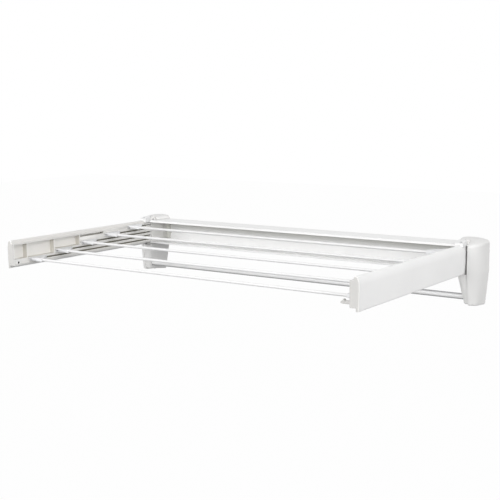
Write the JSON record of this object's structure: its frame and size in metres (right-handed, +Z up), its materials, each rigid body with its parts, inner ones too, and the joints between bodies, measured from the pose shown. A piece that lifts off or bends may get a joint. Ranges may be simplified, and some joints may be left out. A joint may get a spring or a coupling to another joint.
{
  "type": "wall mounted fold down drying rack",
  "caption": "Wall mounted drying rack: two hinged channel arms carry stepped sliding rods, with a back rail and a towel rail between tapered wall brackets.",
  "frame": {"origin": "centre of the four wall screw holes, on the wall plane", "axes": "+X to the right along the wall seen from the room, +Y into the wall, +Z up"},
  "size_m": [1, 0.558, 0.1546],
  "materials": {
    "rail_coat": "white powder coat, satin",
    "arm_coat": "white powder coat, satin",
    "cover_plastic": "white moulded plastic, satin",
    "base_plastic": "white moulded plastic, matte",
    "cap_plastic": "warm white moulded plastic, satin",
    "head_plastic": "white moulded plastic, satin",
    "track_plastic": "cream moulded plastic, matte",
    "bush_plastic": "natural bearing plastic",
    "pin_steel": "ground steel",
    "screw_steel": "zinc plated steel",
    "towel_coat": "white enamel, gloss",
    "rod_coat": "white enamel, gloss",
    "carrier_plastic": "white moulded plastic, satin"
  },
  "bodies": {
    "wall_frame": {"back_rail": "rail_coat", "left_bracket_base": "base_plastic", "right_bracket_base": "base_plastic", "left_bracket_cover": "cover_plastic", "right_bracket_cover": "cover_plastic", "left_hinge_pin": "pin_steel", "right_hinge_pin": "pin_steel", "left_rail_tab": "base_plastic", "right_rail_tab": "base_plastic", "tab_screws": "screw_steel", "cover_screws": "screw_steel", "towel_rail": "towel_coat"},
    "arm_frame": {"left_arm": "arm_coat", "right_arm": "arm_coat", "left_track": "track_plastic", "right_track": "track_plastic", "left_hinge_head": "head_plastic", "right_hinge_head": "head_plastic", "left_hinge_bush": "bush_plastic", "right_hinge_bush": "bush_plastic", "left_front_cap": "cap_plastic", "right_front_cap": "cap_plastic", "latch_tongue": "cap_plastic", "head_screws": "screw_steel"},
    "rod_1": {"drying_rod_1": "rod_coat", "left_carrier_1": "carrier_plastic", "right_carrier_1": "carrier_plastic"},
    "rod_2": {"drying_rod_2": "rod_coat", "left_carrier_2": "carrier_plastic", "right_carrier_2": "carrier_plastic"},
    "rod_3": {"drying_rod_3": "rod_coat", "left_carrier_3": "carrier_plastic", "right_carrier_3": "carrier_plastic"},
    "rod_4": {"drying_rod_4": "rod_coat", "left_carrier_4": "carrier_plastic", "right_carrier_4": "carrier_plastic"},
    "rod_5": {"drying_rod_5": "rod_coat", "left_carrier_5": "carrier_plastic", "right_carrier_5": "carrier_plastic"}
  },
  "joints": [
    {"name": "frame_fold", "type": "hinge", "parent": "wall_frame", "child": "arm_frame", "pos_m": [0, -0.05, 0.062], "axis": [-1, 0, 0], "range_deg": [0, 90]},
    {"name": "rod_1_slide", "type": "slide", "parent": "arm_frame", "child": "rod_1", "axis": [0, 1, 0], "range_m": [0, 0.032]},
    {"name": "rod_2_slide", "type": "slide", "parent": "arm_frame", "child": "rod_2", "axis": [0, 1, 0], "range_m": [0, 0.1205]},
    {"name": "rod_3_slide", "type": "slide", "parent": "arm_frame", "child": "rod_3", "axis": [0, 1, 0], "range_m": [0, 0.209]},
    {"name": "rod_4_slide", "type": "slide", "parent": "arm_frame", "child": "rod_4", "axis": [0, 1, 0], "range_m": [0, 0.2975]},
    {"name": "rod_5_slide", "type": "slide", "parent": "arm_frame", "child": "rod_5", "axis": [0, 1, 0], "range_m": [0, 0.386]}
  ]
}
